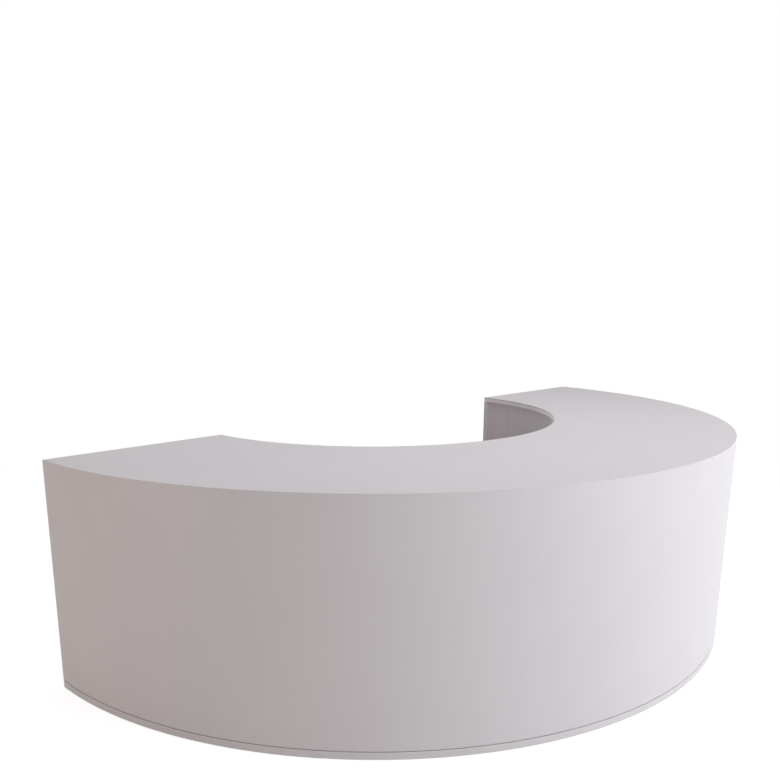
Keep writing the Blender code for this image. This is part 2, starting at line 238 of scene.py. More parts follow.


# White melamine on fibreboard: even, slightly pearly film with rub marks where shoes reach it, and a grey
# line along the upper edge in the open joint, painted shade that darkens the joint.
melamine, tree, shader = new_finish("white_melamine_film")
place = unrolled(tree, OUTER_RADIUS)
white_film(tree, shader, place, WHITE, WHITE_CLOUD, MELAMINE_GLOSS, MELAMINE_PEEL)
add_scuffs(tree, shader, place, BASE_SCUFF_FADE, BASE_SCUFFS)
paint_joint_shade(tree, shader, place, base_high.z - BASE_ARRIS / 2, EDGE_SHADE_FROM, EDGE_SHADE_TO, EDGE_SHADE_GREY)

# Fibreboard as the cutter leaves it: dry, felted brown with darker flecks.
raw_fibre, tree, shader = new_finish("raw_milled_fibreboard")
place = add_node(tree, "ShaderNodeTexCoord").outputs["Object"]
flecks = add_node(
    tree, "ShaderNodeTexNoise", {"Vector": place, "Scale": per_metre(FIBRE_FLECK_MM), "Detail": 5.0}
).outputs["Fac"]
two_tone(tree, shader, flecks, FIBRE_BROWN, FIBRE_DARK, flecks, FIBRE_FELT)
shader.inputs["Roughness"].default_value = FIBRE_ROUGHNESS


def new_tree(name, **inputs):
    """A geometry tree with named inputs, its input sockets and a geometry output."""
    tree = bpy.data.node_groups.new(name, "GeometryNodeTree")
    for label, kind in inputs.items():
        tree.interface.new_socket(label, in_out="INPUT", socket_type="NodeSocket" + kind)
    tree.interface.new_socket("Geometry", in_out="OUTPUT", socket_type="NodeSocketGeometry")
    return tree, add_node(tree, "NodeGroupInput").outputs


def end_tree(tree, geometry, material):
    """Close a geometry tree: real faces with their finish on."""
    whole = add_node(tree, "GeometryNodeRealizeInstances", {0: geometry})
    coated = add_node(
        tree, "GeometryNodeSetMaterial", {"Geometry": whole.outputs[0], "Material": material}
    )
    add_node(tree, "NodeGroupOutput", {0: coated.outputs[0]})


RING_SIZES = {
    "inner_radius": "Float",
    "outer_radius": "Float",
    "bottom": "Float",
    "top": "Float",
    "end_gap": "Float",
    "steps": "Int",
    "material": "Material",
}


def half_ring_tree():
    """A board bent or cut to a half ring: a rectangle swept along half a circle, its ends square."""
    tree, size = new_tree("half_ring", **RING_SIZES)
    radii = add_node(tree, "ShaderNodeMath", {0: size["inner_radius"], 1: size["outer_radius"]})
    middle = add_node(tree, "ShaderNodeMath", {0: radii.outputs[0], 1: 0.5}, operation="MULTIPLY")
    depth = add_node(
        tree, "ShaderNodeMath", {0: size["outer_radius"], 1: size["inner_radius"]}, operation="SUBTRACT"
    )
    height = add_node(tree, "ShaderNodeMath", {0: size["top"], 1: size["bottom"]}, operation="SUBTRACT")
    levels = add_node(tree, "ShaderNodeMath", {0: size["top"], 1: size["bottom"]})
    level = add_node(tree, "ShaderNodeMath", {0: levels.outputs[0], 1: 0.5}, operation="MULTIPLY")
    share = add_node(
        tree, "ShaderNodeMath", {0: size["end_gap"], 1: middle.outputs[0]}, operation="DIVIDE"
    )
    short = add_node(tree, "ShaderNodeMath", {0: share.outputs[0]}, operation="ARCSINE")
    start = add_node(tree, "ShaderNodeMath", {0: short.outputs[0], 1: math.pi})
    sweep = add_node(
        tree, "ShaderNodeMath", {0: short.outputs[0], 1: -2.0, 2: math.pi}, operation="MULTIPLY_ADD"
    )
    points = add_node(tree, "ShaderNodeMath", {0: size["steps"], 1: 1.0})
    arc = add_node(
        tree,
        "GeometryNodeCurveArc",
        {"Resolution": points.outputs[0], "Radius": middle.outputs[0], "Start Angle": start.outputs[0],
         "Sweep Angle": sweep.outputs[0]},
    )
    upright = add_node(tree, "GeometryNodeSetCurveNormal", {"Curve": arc.outputs[0]}, mode="Z_UP")
    ends = add_node(tree, "GeometryNodeCurveEndpointSelection")
    marked = add_node(tree, "GeometryNodeCaptureAttribute", {"Geometry": upright.outputs[0]})
    marked.capture_items.new("BOOLEAN", "End")
    tree.links.new(ends.outputs[0], marked.inputs["End"])
    section = add_node(
        tree,
        "GeometryNodeCurvePrimitiveQuadrilateral",
        {"Width": depth.outputs[0], "Height": height.outputs[0]},
    )
    swept = add_node(
        tree,
        "GeometryNodeCurveToMesh",
        {"Curve": marked.outputs["Geometry"], "Profile Curve": section.outputs[0], "Fill Caps": True},
    )
    spot = add_node(
        tree, "ShaderNodeSeparateXYZ", {0: add_node(tree, "GeometryNodeInputPosition").outputs[0]}
    )
    end_y = add_node(tree, "ShaderNodeMath", {0: size["end_gap"], 1: -1.0}, operation="MULTIPLY")
    square = add_node(
        tree,
        "ShaderNodeCombineXYZ",
        {"X": spot.outputs["X"], "Y": end_y.outputs[0], "Z": spot.outputs["Z"]},
    )
    trimmed = add_node(
        tree,
        "GeometryNodeSetPosition",
        {"Geometry": swept.outputs[0], "Selection": marked.outputs["End"],
         "Position": square.outputs[0]},
    )
    lift = add_node(tree, "ShaderNodeCombineXYZ", {"Y": RING_CENTRE_Y, "Z": level.outputs[0]})
    placed = add_node(
        tree, "GeometryNodeTransform", {"Geometry": trimmed.outputs[0], "Translation": lift.outputs[0]}
    )
    end_tree(tree, placed.outputs[0], size["material"])
    return tree


def ease_edges(mesh, arris, square):
    """Round the sharp edges a little, apart from those at a height where the next piece sits flush."""
    solid = bmesh.new()
    solid.from_mesh(mesh)
    sharp = []
    for edge in solid.edges:
        heights = [end.co.z for end in edge.verts]
        flush = any(all(abs(z - level) < SAME_HEIGHT for z in heights) for level in square)
        if edge.calc_face_angle(0.0) > EASED_ANGLE and not flush:
            sharp.append(edge)
    bmesh.ops.bevel(
        solid, geom=sharp, offset=arris, segments=ARRIS_SEGMENTS, affect="EDGES", profile=0.5
    )
    solid.to_mesh(mesh)
    solid.free()


def settle(piece):
    """Turn a piece's modifiers into a plain mesh."""
    evaluated = piece.evaluated_get(bpy.context.evaluated_depsgraph_get())
    plain = bpy.data.meshes.new_from_object(evaluated)
    piece.modifiers.clear()
    piece.data = plain


def plain_piece(
    name, mesh=None, tree=None, sizes=None, arris=0.0, square=(), cutter=None, smooth=SHARP_ANGLE
):
    """A piece as a plain mesh, from a node tree or a ready mesh, its edges eased and its cuts made."""
    piece = bpy.data.objects.new(name, mesh or bpy.data.meshes.new(name))
    bpy.context.collection.objects.link(piece)
    if tree:
        nodes = piece.modifiers.new("nodes", "NODES")
        nodes.node_group = tree
        for socket in tree.interface.items_tree:
            if socket.in_out == "INPUT" and socket.name in sizes:
                nodes[socket.identifier] = sizes[socket.name]
        settle(piece)
    if arris:
        ease_edges(piece.data, arris, square)
    if cutter:
        cut = piece.modifiers.new("cut", "BOOLEAN")
        cut.object = cutter
        cut.material_mode = "TRANSFER"
        settle(piece)
        bpy.data.objects.remove(cutter)
    piece.data.name = name
    piece.data.shade_smooth()
    piece.data.set_sharp_from_angle(angle=smooth)
    return piece


def round_solid(profile, sides, shape=None):
    """A closed round solid from (radius, height) rings; shape may change a radius round the turn."""
    solid = bmesh.new()
    rings = []
    for radius, height in profile:
        ring = []
        for side in range(sides):
            turn = 2 * math.pi * side / sides
            reach = shape(radius, height, turn) if shape else radius
            ring.append(solid.verts.new((reach * math.cos(turn), reach * math.sin(turn), height)))
        rings.append(ring)
    for lower, upper in zip(rings, rings[1:]):
        for side in range(sides):
            after = (side + 1) % sides
            solid.faces.new((lower[side], lower[after], upper[after], upper[side]))
    solid.faces.new(rings[0])
    solid.faces.new(rings[-1])
    bmesh.ops.recalc_face_normals(solid, faces=solid.faces)
    mesh = bpy.data.meshes.new("round_solid")
    solid.to_mesh(mesh)
    solid.free()
    return mesh


def gathered(name, material, copies):
    """One mesh from copies of other meshes, each with the place it is moved to."""
    joined = bmesh.new()
    for mesh, place in copies:
        first = len(joined.verts)
        joined.from_mesh(mesh)
        joined.verts.ensure_lookup_table()
        bmesh.ops.translate(joined, verts=joined.verts[first:], vec=place)
    mesh = bpy.data.meshes.new(name)
    joined.to_mesh(mesh)
    joined.free()
    mesh.materials.append(material)
    return mesh


def middle_of(node):
    """The point on the floor under the middle of a CAD node."""
    low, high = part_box(node)
    return Vector(((low.x + high.x) / 2, (low.y + high.y) / 2, 0.0))


def dress(piece, body, slot, *nodes):
    """Let a piece ride on a body and stand for CAD nodes. The slot argument is not used."""
    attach(piece, body)
    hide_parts(*nodes)


pad_low, pad_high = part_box("foot_pad_1")
pad_radius = (pad_high.x - pad_low.x) / 2
pocket_radius = pad_radius + POCKET_CLEARANCE
pocket_ceiling = pad_high.z + POCKET_CEILING_GAP
pocket = round_solid(
    [
        (pocket_radius + POCKET_CHAMFER, base_low.z - CUT_PAST),
        (pocket_radius + POCKET_CHAMFER, base_low.z),
        (pocket_radius, base_low.z + POCKET_CHAMFER),
        (pocket_radius, pocket_ceiling),
        (TEE_NUT_BORE, pocket_ceiling),
        (TEE_NUT_BORE, base_high.z + CUT_PAST),
    ],
    ROUND_SIDES,
)
head_low, head_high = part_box("base_screw_1")
head_radius = (head_high.x - head_low.x) / 2
sink_radius = head_radius + SINK_CLEARANCE
shank_bore = SCREW_SHANK_RADIUS + SINK_CLEARANCE
sink = round_solid(
    [
        (sink_radius, base_low.z - CUT_PAST),
        (sink_radius, base_low.z),
        (shank_bore, base_low.z + sink_radius - shank_bore),
        (shank_bore, base_high.z + CUT_PAST),
    ],
    ROUND_SIDES,
)
foot_spots = [middle_of(f"foot_pad_{n}") for n in range(1, FOOT_COUNT + 1)]
screw_spots = [middle_of(f"base_screw_{n}") for n in range(1, SCREW_COUNT + 1)]
cuts = [(pocket, spot) for spot in foot_spots] + [(sink, spot) for spot in screw_spots]
milling = bpy.data.objects.new("milling", gathered("milling", raw_fibre, cuts))
bpy.context.collection.objects.link(milling)

half_ring = half_ring_tree()


def half_ring_piece(name, radii, heights, material, **finishing):
    """A half ring between two radii and two heights that runs right up to both ends."""
    sizes = {
        "inner_radius": radii[0],
        "outer_radius": radii[1],
        "bottom": heights[0],
        "top": heights[1],
        "end_gap": 0.0,
        "steps": RING_STEPS,
        "material": material,
    }
    return plain_piece(name, tree=half_ring, sizes=sizes, **finishing)


base_board = half_ring_piece(
    "melamine_base_board",
    (INNER_RADIUS, OUTER_RADIUS),
    (base_low.z, base_high.z),
    melamine,
    arris=BASE_ARRIS,
    cutter=milling,
)
dress(base_board, "counter", "white_board", "base_board")


# Levelling feet
# Each is a black nylon pad moulded round the foot of a zinc-plated M10 stud. The stud screws into a
# tee nut pressed into the base board, and the fluted rim gives the fingers a hold to turn it.
PAD_ROUND = 0.0016
PAD_ROUND_STEPS = 5
PAD_SIDES = 160
SOLE_DISH_RADIUS = 0.0165
SOLE_DISH_DEPTH = 0.0005
COLLAR_RADIUS = 0.0085
COLLAR_DIP = 0.0006
STEM_FIT = 0.0001
FLUTE_COUNT = 20
FLUTE_DEPTH = 0.0008
THREAD_PITCH = 0.0015
THREAD_DEPTH = 0.0009
THREAD_ROWS_PER_TURN = 8
THREAD_SIDES = 24
PAD_SMOOTH = math.radians(50)
NYLON_BLACK = "1B1B1D"
NYLON_RUBBED = "3A3A3C"
NYLON_GRAIN_MM = 0.5
NYLON_GRAIN = 0.00006
NYLON_RUB_MM = 4
NYLON_SHEEN = (0.38, 0.62)
SOLE_WEAR_HEIGHT = 0.003
SOLE_WEAR = 0.9
RIM_WEAR = 0.1
ZINC_BRIGHT = "C9CCCE"
ZINC_DULL = "A9AAA8"
ZINC_CLOUD_MM = 3
ZINC_SHEEN = (0.26, 0.5)
ZINC_DENT_MM = 0.7
ZINC_DENTS = 0.00002


def quarter_round(radius, height, start):
    """Profile points round a moulded corner of the pad."""
    turns = [start + math.pi / 2 * step / PAD_ROUND_STEPS for step in range(PAD_ROUND_STEPS + 1)]
    return [(radius + PAD_ROUND * math.cos(t), height + PAD_ROUND * math.sin(t)) for t in turns]


def fluted(radius, height, turn):
    """Draw the pad's rim in at each finger flute."""
    at_rim = max(0.0, 1.0 - (pad_radius - radius) / PAD_ROUND)
    return radius - at_rim * FLUTE_DEPTH * max(0.0, math.cos(FLUTE_COUNT * turn))


def threaded_rod(radius, bottom, top, pitch, depth):
    """A rod with a cut thread that runs out into a plain point at each end."""
    rows = round((top - bottom) / pitch * THREAD_ROWS_PER_TURN)
    heights = [bottom + (top - bottom) * row / rows for row in range(rows + 1)]

    def groove(full, height, turn):
        phase = (height / pitch - turn / (2 * math.pi)) % 1.0
        runout = min(1.0, (height - bottom) / pitch, (top - height) / pitch)
        return full - depth * (1.0 - runout * (1.0 - abs(2 * phase - 1)))

    return round_solid([(radius, height) for height in heights], THREAD_SIDES, groove)


# Moulded nylon: deep black with a fine spark-eroded grain, rubbed grey where it stands on the floor.
nylon, tree, shader = new_finish("black_moulded_nylon")
place = add_node(tree, "ShaderNodeTexCoord").outputs["Object"]
grain = add_node(
    tree, "ShaderNodeTexNoise", {"Vector": place, "Scale": per_metre(NYLON_GRAIN_MM), "Detail": 3.0}
).outputs["Fac"]
rubs = add_node(
    tree, "ShaderNodeTexNoise", {"Vector": place, "Scale": per_metre(NYLON_RUB_MM), "Detail": 8.0}
).outputs["Fac"]
height = add_node(tree, "ShaderNodeSeparateXYZ", {0: place}).outputs["Z"]
wear = add_node(
    tree,
    "ShaderNodeMapRange",
    {"Value": height, "From Max": SOLE_WEAR_HEIGHT, "To Min": SOLE_WEAR, "To Max": RIM_WEAR},
)
worn = add_node(tree, "ShaderNodeMath", {0: rubs, 1: wear.outputs[0]}, operation="MULTIPLY")
two_tone(tree, shader, worn.outputs[0], NYLON_BLACK, NYLON_RUBBED, grain, NYLON_GRAIN)
sheen = add_node(
    tree, "ShaderNodeMapRange", {"Value": rubs, "To Min": NYLON_SHEEN[0], "To Max": NYLON_SHEEN[1]}
)
tree.links.new(sheen.outputs["Result"], shader.inputs["Roughness"])

# Zinc-plated steel: cool silver with cloudy duller patches and fine tumbling marks.
zinc, tree, shader = new_finish("zinc_plated_steel")
place = add_node(tree, "ShaderNodeTexCoord").outputs["Object"]
clouds = add_node(
    tree, "ShaderNodeTexNoise", {"Vector": place, "Scale": per_metre(ZINC_CLOUD_MM), "Detail": 6.0}
).outputs["Fac"]
dents = add_node(tree, "ShaderNodeTexVoronoi", {"Vector": place, "Scale": per_metre(ZINC_DENT_MM)})
two_tone(tree, shader, clouds, ZINC_BRIGHT, ZINC_DULL, dents.outputs["Distance"], ZINC_DENTS)
sheen = add_node(
    tree, "ShaderNodeMapRange", {"Value": clouds, "To Min": ZINC_SHEEN[0], "To Max": ZINC_SHEEN[1]}
)
tree.links.new(sheen.outputs["Result"], shader.inputs["Roughness"])
shader.inputs["Metallic"].default_value = 1.0


def coat_nodes(material, *nodes):
    """Give CAD nodes that keep their own shape a finish."""
    for node in nodes:
        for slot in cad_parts[node].material_slots:
            slot.material = material


stem_low, stem_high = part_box("foot_stem_1")
stem_radius = (stem_high.x - stem_low.x) / 2
socket_radius = stem_radius + STEM_FIT
pad_profile = [(SOLE_DISH_RADIUS - SOLE_DISH_DEPTH, SOLE_DISH_DEPTH), (SOLE_DISH_RADIUS, 0.0)]
pad_profile += quarter_round(pad_radius - PAD_ROUND, PAD_ROUND, -math.pi / 2)
pad_profile += quarter_round(pad_radius - PAD_ROUND, pad_high.z - PAD_ROUND, 0.0)
pad_profile += [
    (COLLAR_RADIUS, pad_high.z),
    (COLLAR_RADIUS - COLLAR_DIP, pad_high.z - COLLAR_DIP),
    (socket_radius, pad_high.z - COLLAR_DIP),
    (socket_radius, stem_low.z - STEM_FIT),
]
pad = round_solid(pad_profile, PAD_SIDES, fluted)
stem = threaded_rod(stem_radius, stem_low.z, stem_high.z, THREAD_PITCH, THREAD_DEPTH)
for number, spot in enumerate(foot_spots, start=1):
    pad_mesh = gathered("pad", nylon, [(pad, spot)])
    pad_piece = plain_piece(f"nylon_pad_{number}", pad_mesh, smooth=PAD_SMOOTH)
    dress(pad_piece, f"foot_{number}", "black_nylon", f"foot_pad_{number}")
    stem_piece = plain_piece(f"threaded_stem_{number}", gathered("stem", zinc, [(stem, spot)]))
    dress(stem_piece, f"foot_{number}", "zinc_steel", f"foot_stem_{number}")
coat_nodes(zinc, *[f"tee_nut_{n}" for n in range(1, FOOT_COUNT + 1)])


# Formers and ribs
# The hidden frame: curved formers and upright ribs, cut on a router from 18 mm birch plywood, slotted
# together and glued. They keep their CAD shape; only an edge of the lowest former shows in the joint.
RIB_COUNT = 4
PLY_MM = 1.4
PLY_WAVER = 0.3
BIRCH_PALE = "D9BE94"
BIRCH_DARK = "A97F52"
BIRCH_GRAIN_MM = (160, 1.5, 1.5)
BIRCH_PORES = 0.00008
BIRCH_ROUGHNESS = 0.62


def birch_plywood(name, turn, through):
    """Rotary-cut birch: long pale grain on the faces, light and dark plies on the sawn edges."""
    material, tree, shader = new_finish(name)
    place = add_node(tree, "ShaderNodeTexCoord").outputs["Object"]
    laid = add_node(
        tree,
        "ShaderNodeMapping",
        {"Vector": place, "Rotation": (0.0, 0.0, turn)},
        vector_type="TEXTURE",
    )
    fibres = add_node(
        tree,
        "ShaderNodeMapping",
        {"Vector": laid.outputs[0], "Scale": [per_metre(size) for size in BIRCH_GRAIN_MM]},
    )
    grain = add_node(
        tree, "ShaderNodeTexNoise", {"Vector": fibres.outputs[0], "Scale": 1.0, "Detail": 5.0}
    )
    # A Wave texture of scale 1 repeats every pi / 10 metres
    plies = add_node(
        tree,
        "ShaderNodeTexWave",
        {"Vector": laid.outputs[0], "Scale": math.pi / 10 * per_metre(2 * PLY_MM),
         "Distortion": PLY_WAVER},
        bands_direction=through,
    )
    tone = add_node(
        tree, "ShaderNodeMath", {0: plies.outputs["Fac"], 1: grain.outputs["Fac"]}, operation="ADD"
    )
    share = add_node(
        tree, "ShaderNodeMath", {0: tone.outputs[0], 1: 0.5}, operation="MULTIPLY"
    ).outputs[0]
    two_tone(tree, shader, share, BIRCH_PALE, BIRCH_DARK, share, BIRCH_PORES)
    shader.inputs["Roughness"].default_value = BIRCH_ROUGHNESS
    return material, tree, shader


flat_birch, _, _ = birch_plywood("birch_plywood_flat", 0.0, "Z")
coat_nodes(flat_birch, "inner_base_former", "outer_middle_former", "inner_middle_former")
# The lowest former's edge in the joint is painted black: painted shade that darkens the joint near the
# floor.
shade_painted_birch, tree, shader = birch_plywood("birch_plywood_shade_painted_edge", 0.0, "Z")
place = unrolled(tree, OUTER_RADIUS)
paint_joint_shade(tree, shader, place, base_high.z, JOINT_SHADE_FROM, JOINT_SHADE_TO, JOINT_SHADE_BLACK)
coat_nodes(shade_painted_birch, "outer_base_former")
for number in range(1, RIB_COUNT + 1):
    rib_angle = math.pi * number / (RIB_COUNT + 1)
    rib_birch, _, _ = birch_plywood(f"birch_plywood_rib_{number}", rib_angle, "Y")
    coat_nodes(rib_birch, f"rib_{number}")


# Base screws
# Twelve zinc-plated countersunk screws with a cross recess, driven up through the base board into the
# ribs and end panels until the heads are flush. Each stops at its own turn.
SCREW_TURN_SEED = 7
SCREW_RIM = 0.0002
SCREW_PITCH = 0.0036
SCREW_THREAD_DEPTH = 0.0011
SCREW_CREST_SHARE = 0.33
SCREW_POINT = 0.004
SCREW_TIP_SHARE = 0.08
RECESS_ARM = 0.0031
RECESS_WIDTH = 0.0011
RECESS_DEPTH = 0.0024
RECESS_TAPER = 0.35


def cross_head_screw():
    """One screw, head down at the base board's underside, with its thread and point."""
    foot, tip = base_low.z, head_high.z
    neck = foot + head_radius - SCREW_SHANK_RADIUS
    rows = round((tip - neck) / SCREW_PITCH * THREAD_ROWS_PER_TURN)
    shank = [(SCREW_SHANK_RADIUS, neck + (tip - neck) * row / rows) for row in range(rows + 1)]

    def worm(full, height, turn):
        if height <= neck:
            return full
        phase = (height / SCREW_PITCH - turn / (2 * math.pi)) % 1.0
        crest = max(0.0, 1.0 - abs(phase - 0.5) / SCREW_CREST_SHARE)
        crest *= min(1.0, (height - neck) / SCREW_PITCH)
        taper = min(1.0, max(SCREW_TIP_SHARE, (tip - height) / SCREW_POINT))
        return taper * (full - SCREW_THREAD_DEPTH * (1.0 - crest))

    profile = [(head_radius, foot), (head_radius, foot + SCREW_RIM), *shank]
    screw = round_solid(profile, THREAD_SIDES, worm)
    screw.materials.append(zinc)
    return screw


def cross_recess():
    """The plug that cuts the cross recess: a plus sign that narrows towards its floor."""
    plus = bmesh.new()
    arm, half = RECESS_ARM, RECESS_WIDTH / 2
    quarter = [(half, half), (half, arm), (-half, arm)]
    outline = []
    for step in range(4):
        spin = Matrix.Rotation(step * math.pi / 2, 2)
        outline += [spin @ Vector(corner) for corner in quarter]
    mouth = [plus.verts.new((x, y, base_low.z - CUT_PAST)) for x, y in outline]
    sill = [plus.verts.new((x, y, base_low.z)) for x, y in outline]
    deep = base_low.z + RECESS_DEPTH
    floor = [plus.verts.new((x * RECESS_TAPER, y * RECESS_TAPER, deep)) for x, y in outline]
    for lower, upper in ((mouth, sill), (sill, floor)):
        for corner in range(len(outline)):
            after = (corner + 1) % len(outline)
            plus.faces.new((lower[corner], lower[after], upper[after], upper[corner]))
    plus.faces.new(mouth)
    plus.faces.new(floor)
    bmesh.ops.recalc_face_normals(plus, faces=plus.faces)
    mesh = bpy.data.meshes.new("cross_recess")
    plus.to_mesh(mesh)
    plus.free()
    mesh.materials.append(zinc)
    recess = bpy.data.objects.new("cross_recess", mesh)
    bpy.context.collection.objects.link(recess)
    return recess


def driven_screws_tree():
    """A copy of one screw on every point, each at a turn of its own."""
    tree, size = new_tree(
        "driven_screws", points="Geometry", screw="Object", seed="Int", material="Material"
    )
    master = add_node(tree, "GeometryNodeObjectInfo", {"Object": size["screw"]})
    turn = add_node(
        tree,
        "FunctionNodeRandomValue",
        {"Max": (0.0, 0.0, 2 * math.pi), "Seed": size["seed"]},
        data_type="FLOAT_VECTOR",
    )
    driven = add_node(
        tree,
        "GeometryNodeInstanceOnPoints",
        {"Points": size["points"], "Instance": master.outputs["Geometry"], "Rotation": turn.outputs[0]},
    )
    end_tree(tree, driven.outputs[0], size["material"])
    return tree


screw_master = plain_piece("screw_master", cross_head_screw(), cutter=cross_recess())
screw_points = bpy.data.meshes.new("screw_points")
screw_points.from_pydata(screw_spots, [], [])
screws = plain_piece(
    "cross_head_screws",
    screw_points,
    tree=driven_screws_tree(),
    sizes={"screw": screw_master, "seed": SCREW_TURN_SEED, "material": zinc},
)
bpy.data.objects.remove(screw_master)
dress(screws, "counter", "zinc_steel", *[f"base_screw_{n}" for n in range(1, SCREW_COUNT + 1)])


# End panels
# Two upright boards of 18 mm melamine-faced board that close the ends of the ring. The edge towards
# the staff side has a 1 mm plastic edging strip in the inner wall's darker white, painted shade, trimmed
# flush.
OUTER_SKIN_THICKNESS = 0.009
EDGING_THICKNESS = 0.001
EDGING_SEAM = 0.00015
PANEL_FIT = 0.0002
PANEL_ARRIS = 0.0003
# STAFF_SHADED_WHITE is painted shade: a darker, mauve white for the staff side, which stands in shade.
STAFF_SHADED_WHITE = "D6D0D5"
STAFF_SHADED_CLOUD = "D1CBD0"
PANEL_SCUFF_FADE = 0.12
PANEL_SCUFFS = 0.08

# Places of the panel's two finishes on its mesh
BOARD_FINISH, EDGING_FINISH = 0, 1


def cuboid(solid, low, high, finish):
    """Add one square-edged block to a solid, in one of its finishes by number."""
    block = bmesh.ops.create_cube(solid, size=1.0)["verts"]
    bmesh.ops.scale(solid, vec=Vector(high) - Vector(low), verts=block)
    bmesh.ops.translate(solid, vec=(Vector(high) + Vector(low)) / 2, verts=block)
    for corner in block:
        for face in corner.link_faces:
            face.material_index = finish


def edged_panel(side):
    """A board and its edging strip, on the right (1) or mirrored to the left (-1)."""
    low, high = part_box("right_end_panel")
    seam = low.x + EDGING_THICKNESS
    far_end = OUTER_RADIUS - OUTER_SKIN_THICKNESS - PANEL_FIT
    board = bmesh.new()
    cuboid(board, (seam + EDGING_SEAM, low.y, low.z), (far_end, high.y, high.z), BOARD_FINISH)
    cuboid(board, low, (seam, high.y, high.z), EDGING_FINISH)
    bmesh.ops.scale(board, vec=(side, 1.0, 1.0), verts=board.verts)
    bmesh.ops.recalc_face_normals(board, faces=board.faces)
    mesh = bpy.data.meshes.new("panel")
    board.to_mesh(mesh)
    board.free()
    mesh.materials.append(panel_film)
    mesh.materials.append(shaded_panel_edging)
    return mesh


def upright_film(name, white, cloud):
    """A pearl film on an upright board, with a few rubs near the floor."""
    material, tree, shader = new_finish(name)
    place = add_node(tree, "ShaderNodeTexCoord").outputs["Object"]
    spot = add_node(tree, "ShaderNodeSeparateXYZ", {0: place}).outputs
    upright = add_node(
        tree, "ShaderNodeCombineXYZ", {"X": spot["X"], "Y": spot["Z"], "Z": spot["Y"]}
    ).outputs[0]
    white_film(tree, shader, upright, white, cloud, MELAMINE_GLOSS, MELAMINE_PEEL)
    add_scuffs(tree, shader, upright, PANEL_SCUFF_FADE, PANEL_SCUFFS)
    return material


# White melamine on the board: the same pearl film as below. Plastic edging: a greyer white beside it,
# painted shade.
panel_film = upright_film("white_melamine_panel", WHITE, WHITE_CLOUD)
shaded_panel_edging = upright_film("shaded_white_plastic_edging", STAFF_SHADED_WHITE, STAFF_SHADED_CLOUD)

for name, side in (("left", -1), ("right", 1)):
    panel = plain_piece(f"edged_{name}_panel", edged_panel(side), arris=PANEL_ARRIS)
    dress(panel, "counter", "white_board", f"{name}_end_panel")


# Inner skin
# A sheet of 8 mm flexible board, kerfed on its back so that it bends, glued to the inner formers and
# sprayed white. The kerfs and the uneven bend show as faint dips in the mesh, and as faint upright
# streaks of painted shade; the whole staff side is painted a darker, mauve white as painted shade.
INNER_SKIN_SETBACK = 0.012
INNER_SKIN_THICKNESS = 0.008
KERF_PITCH = 0.008
STEPS_PER_KERF = 4
KERF_DIP = 0.00012
BEND_UNEVEN = 0.0005
BEND_UNEVEN_MM = 45
# STREAK_SHADE_GREY is painted shade: grey upright streaks that stand in for the shading of the uneven
# bend.
STREAK_SHADE_GREY = "8E878E"
STREAK_WIDTH_MM = 22
STREAK_HEIGHT_MM = 1800
STREAK_SHADE_SHARE = 0.08
LACQUER_GLOSS = 0.50
LACQUER_PEEL = 0.00008


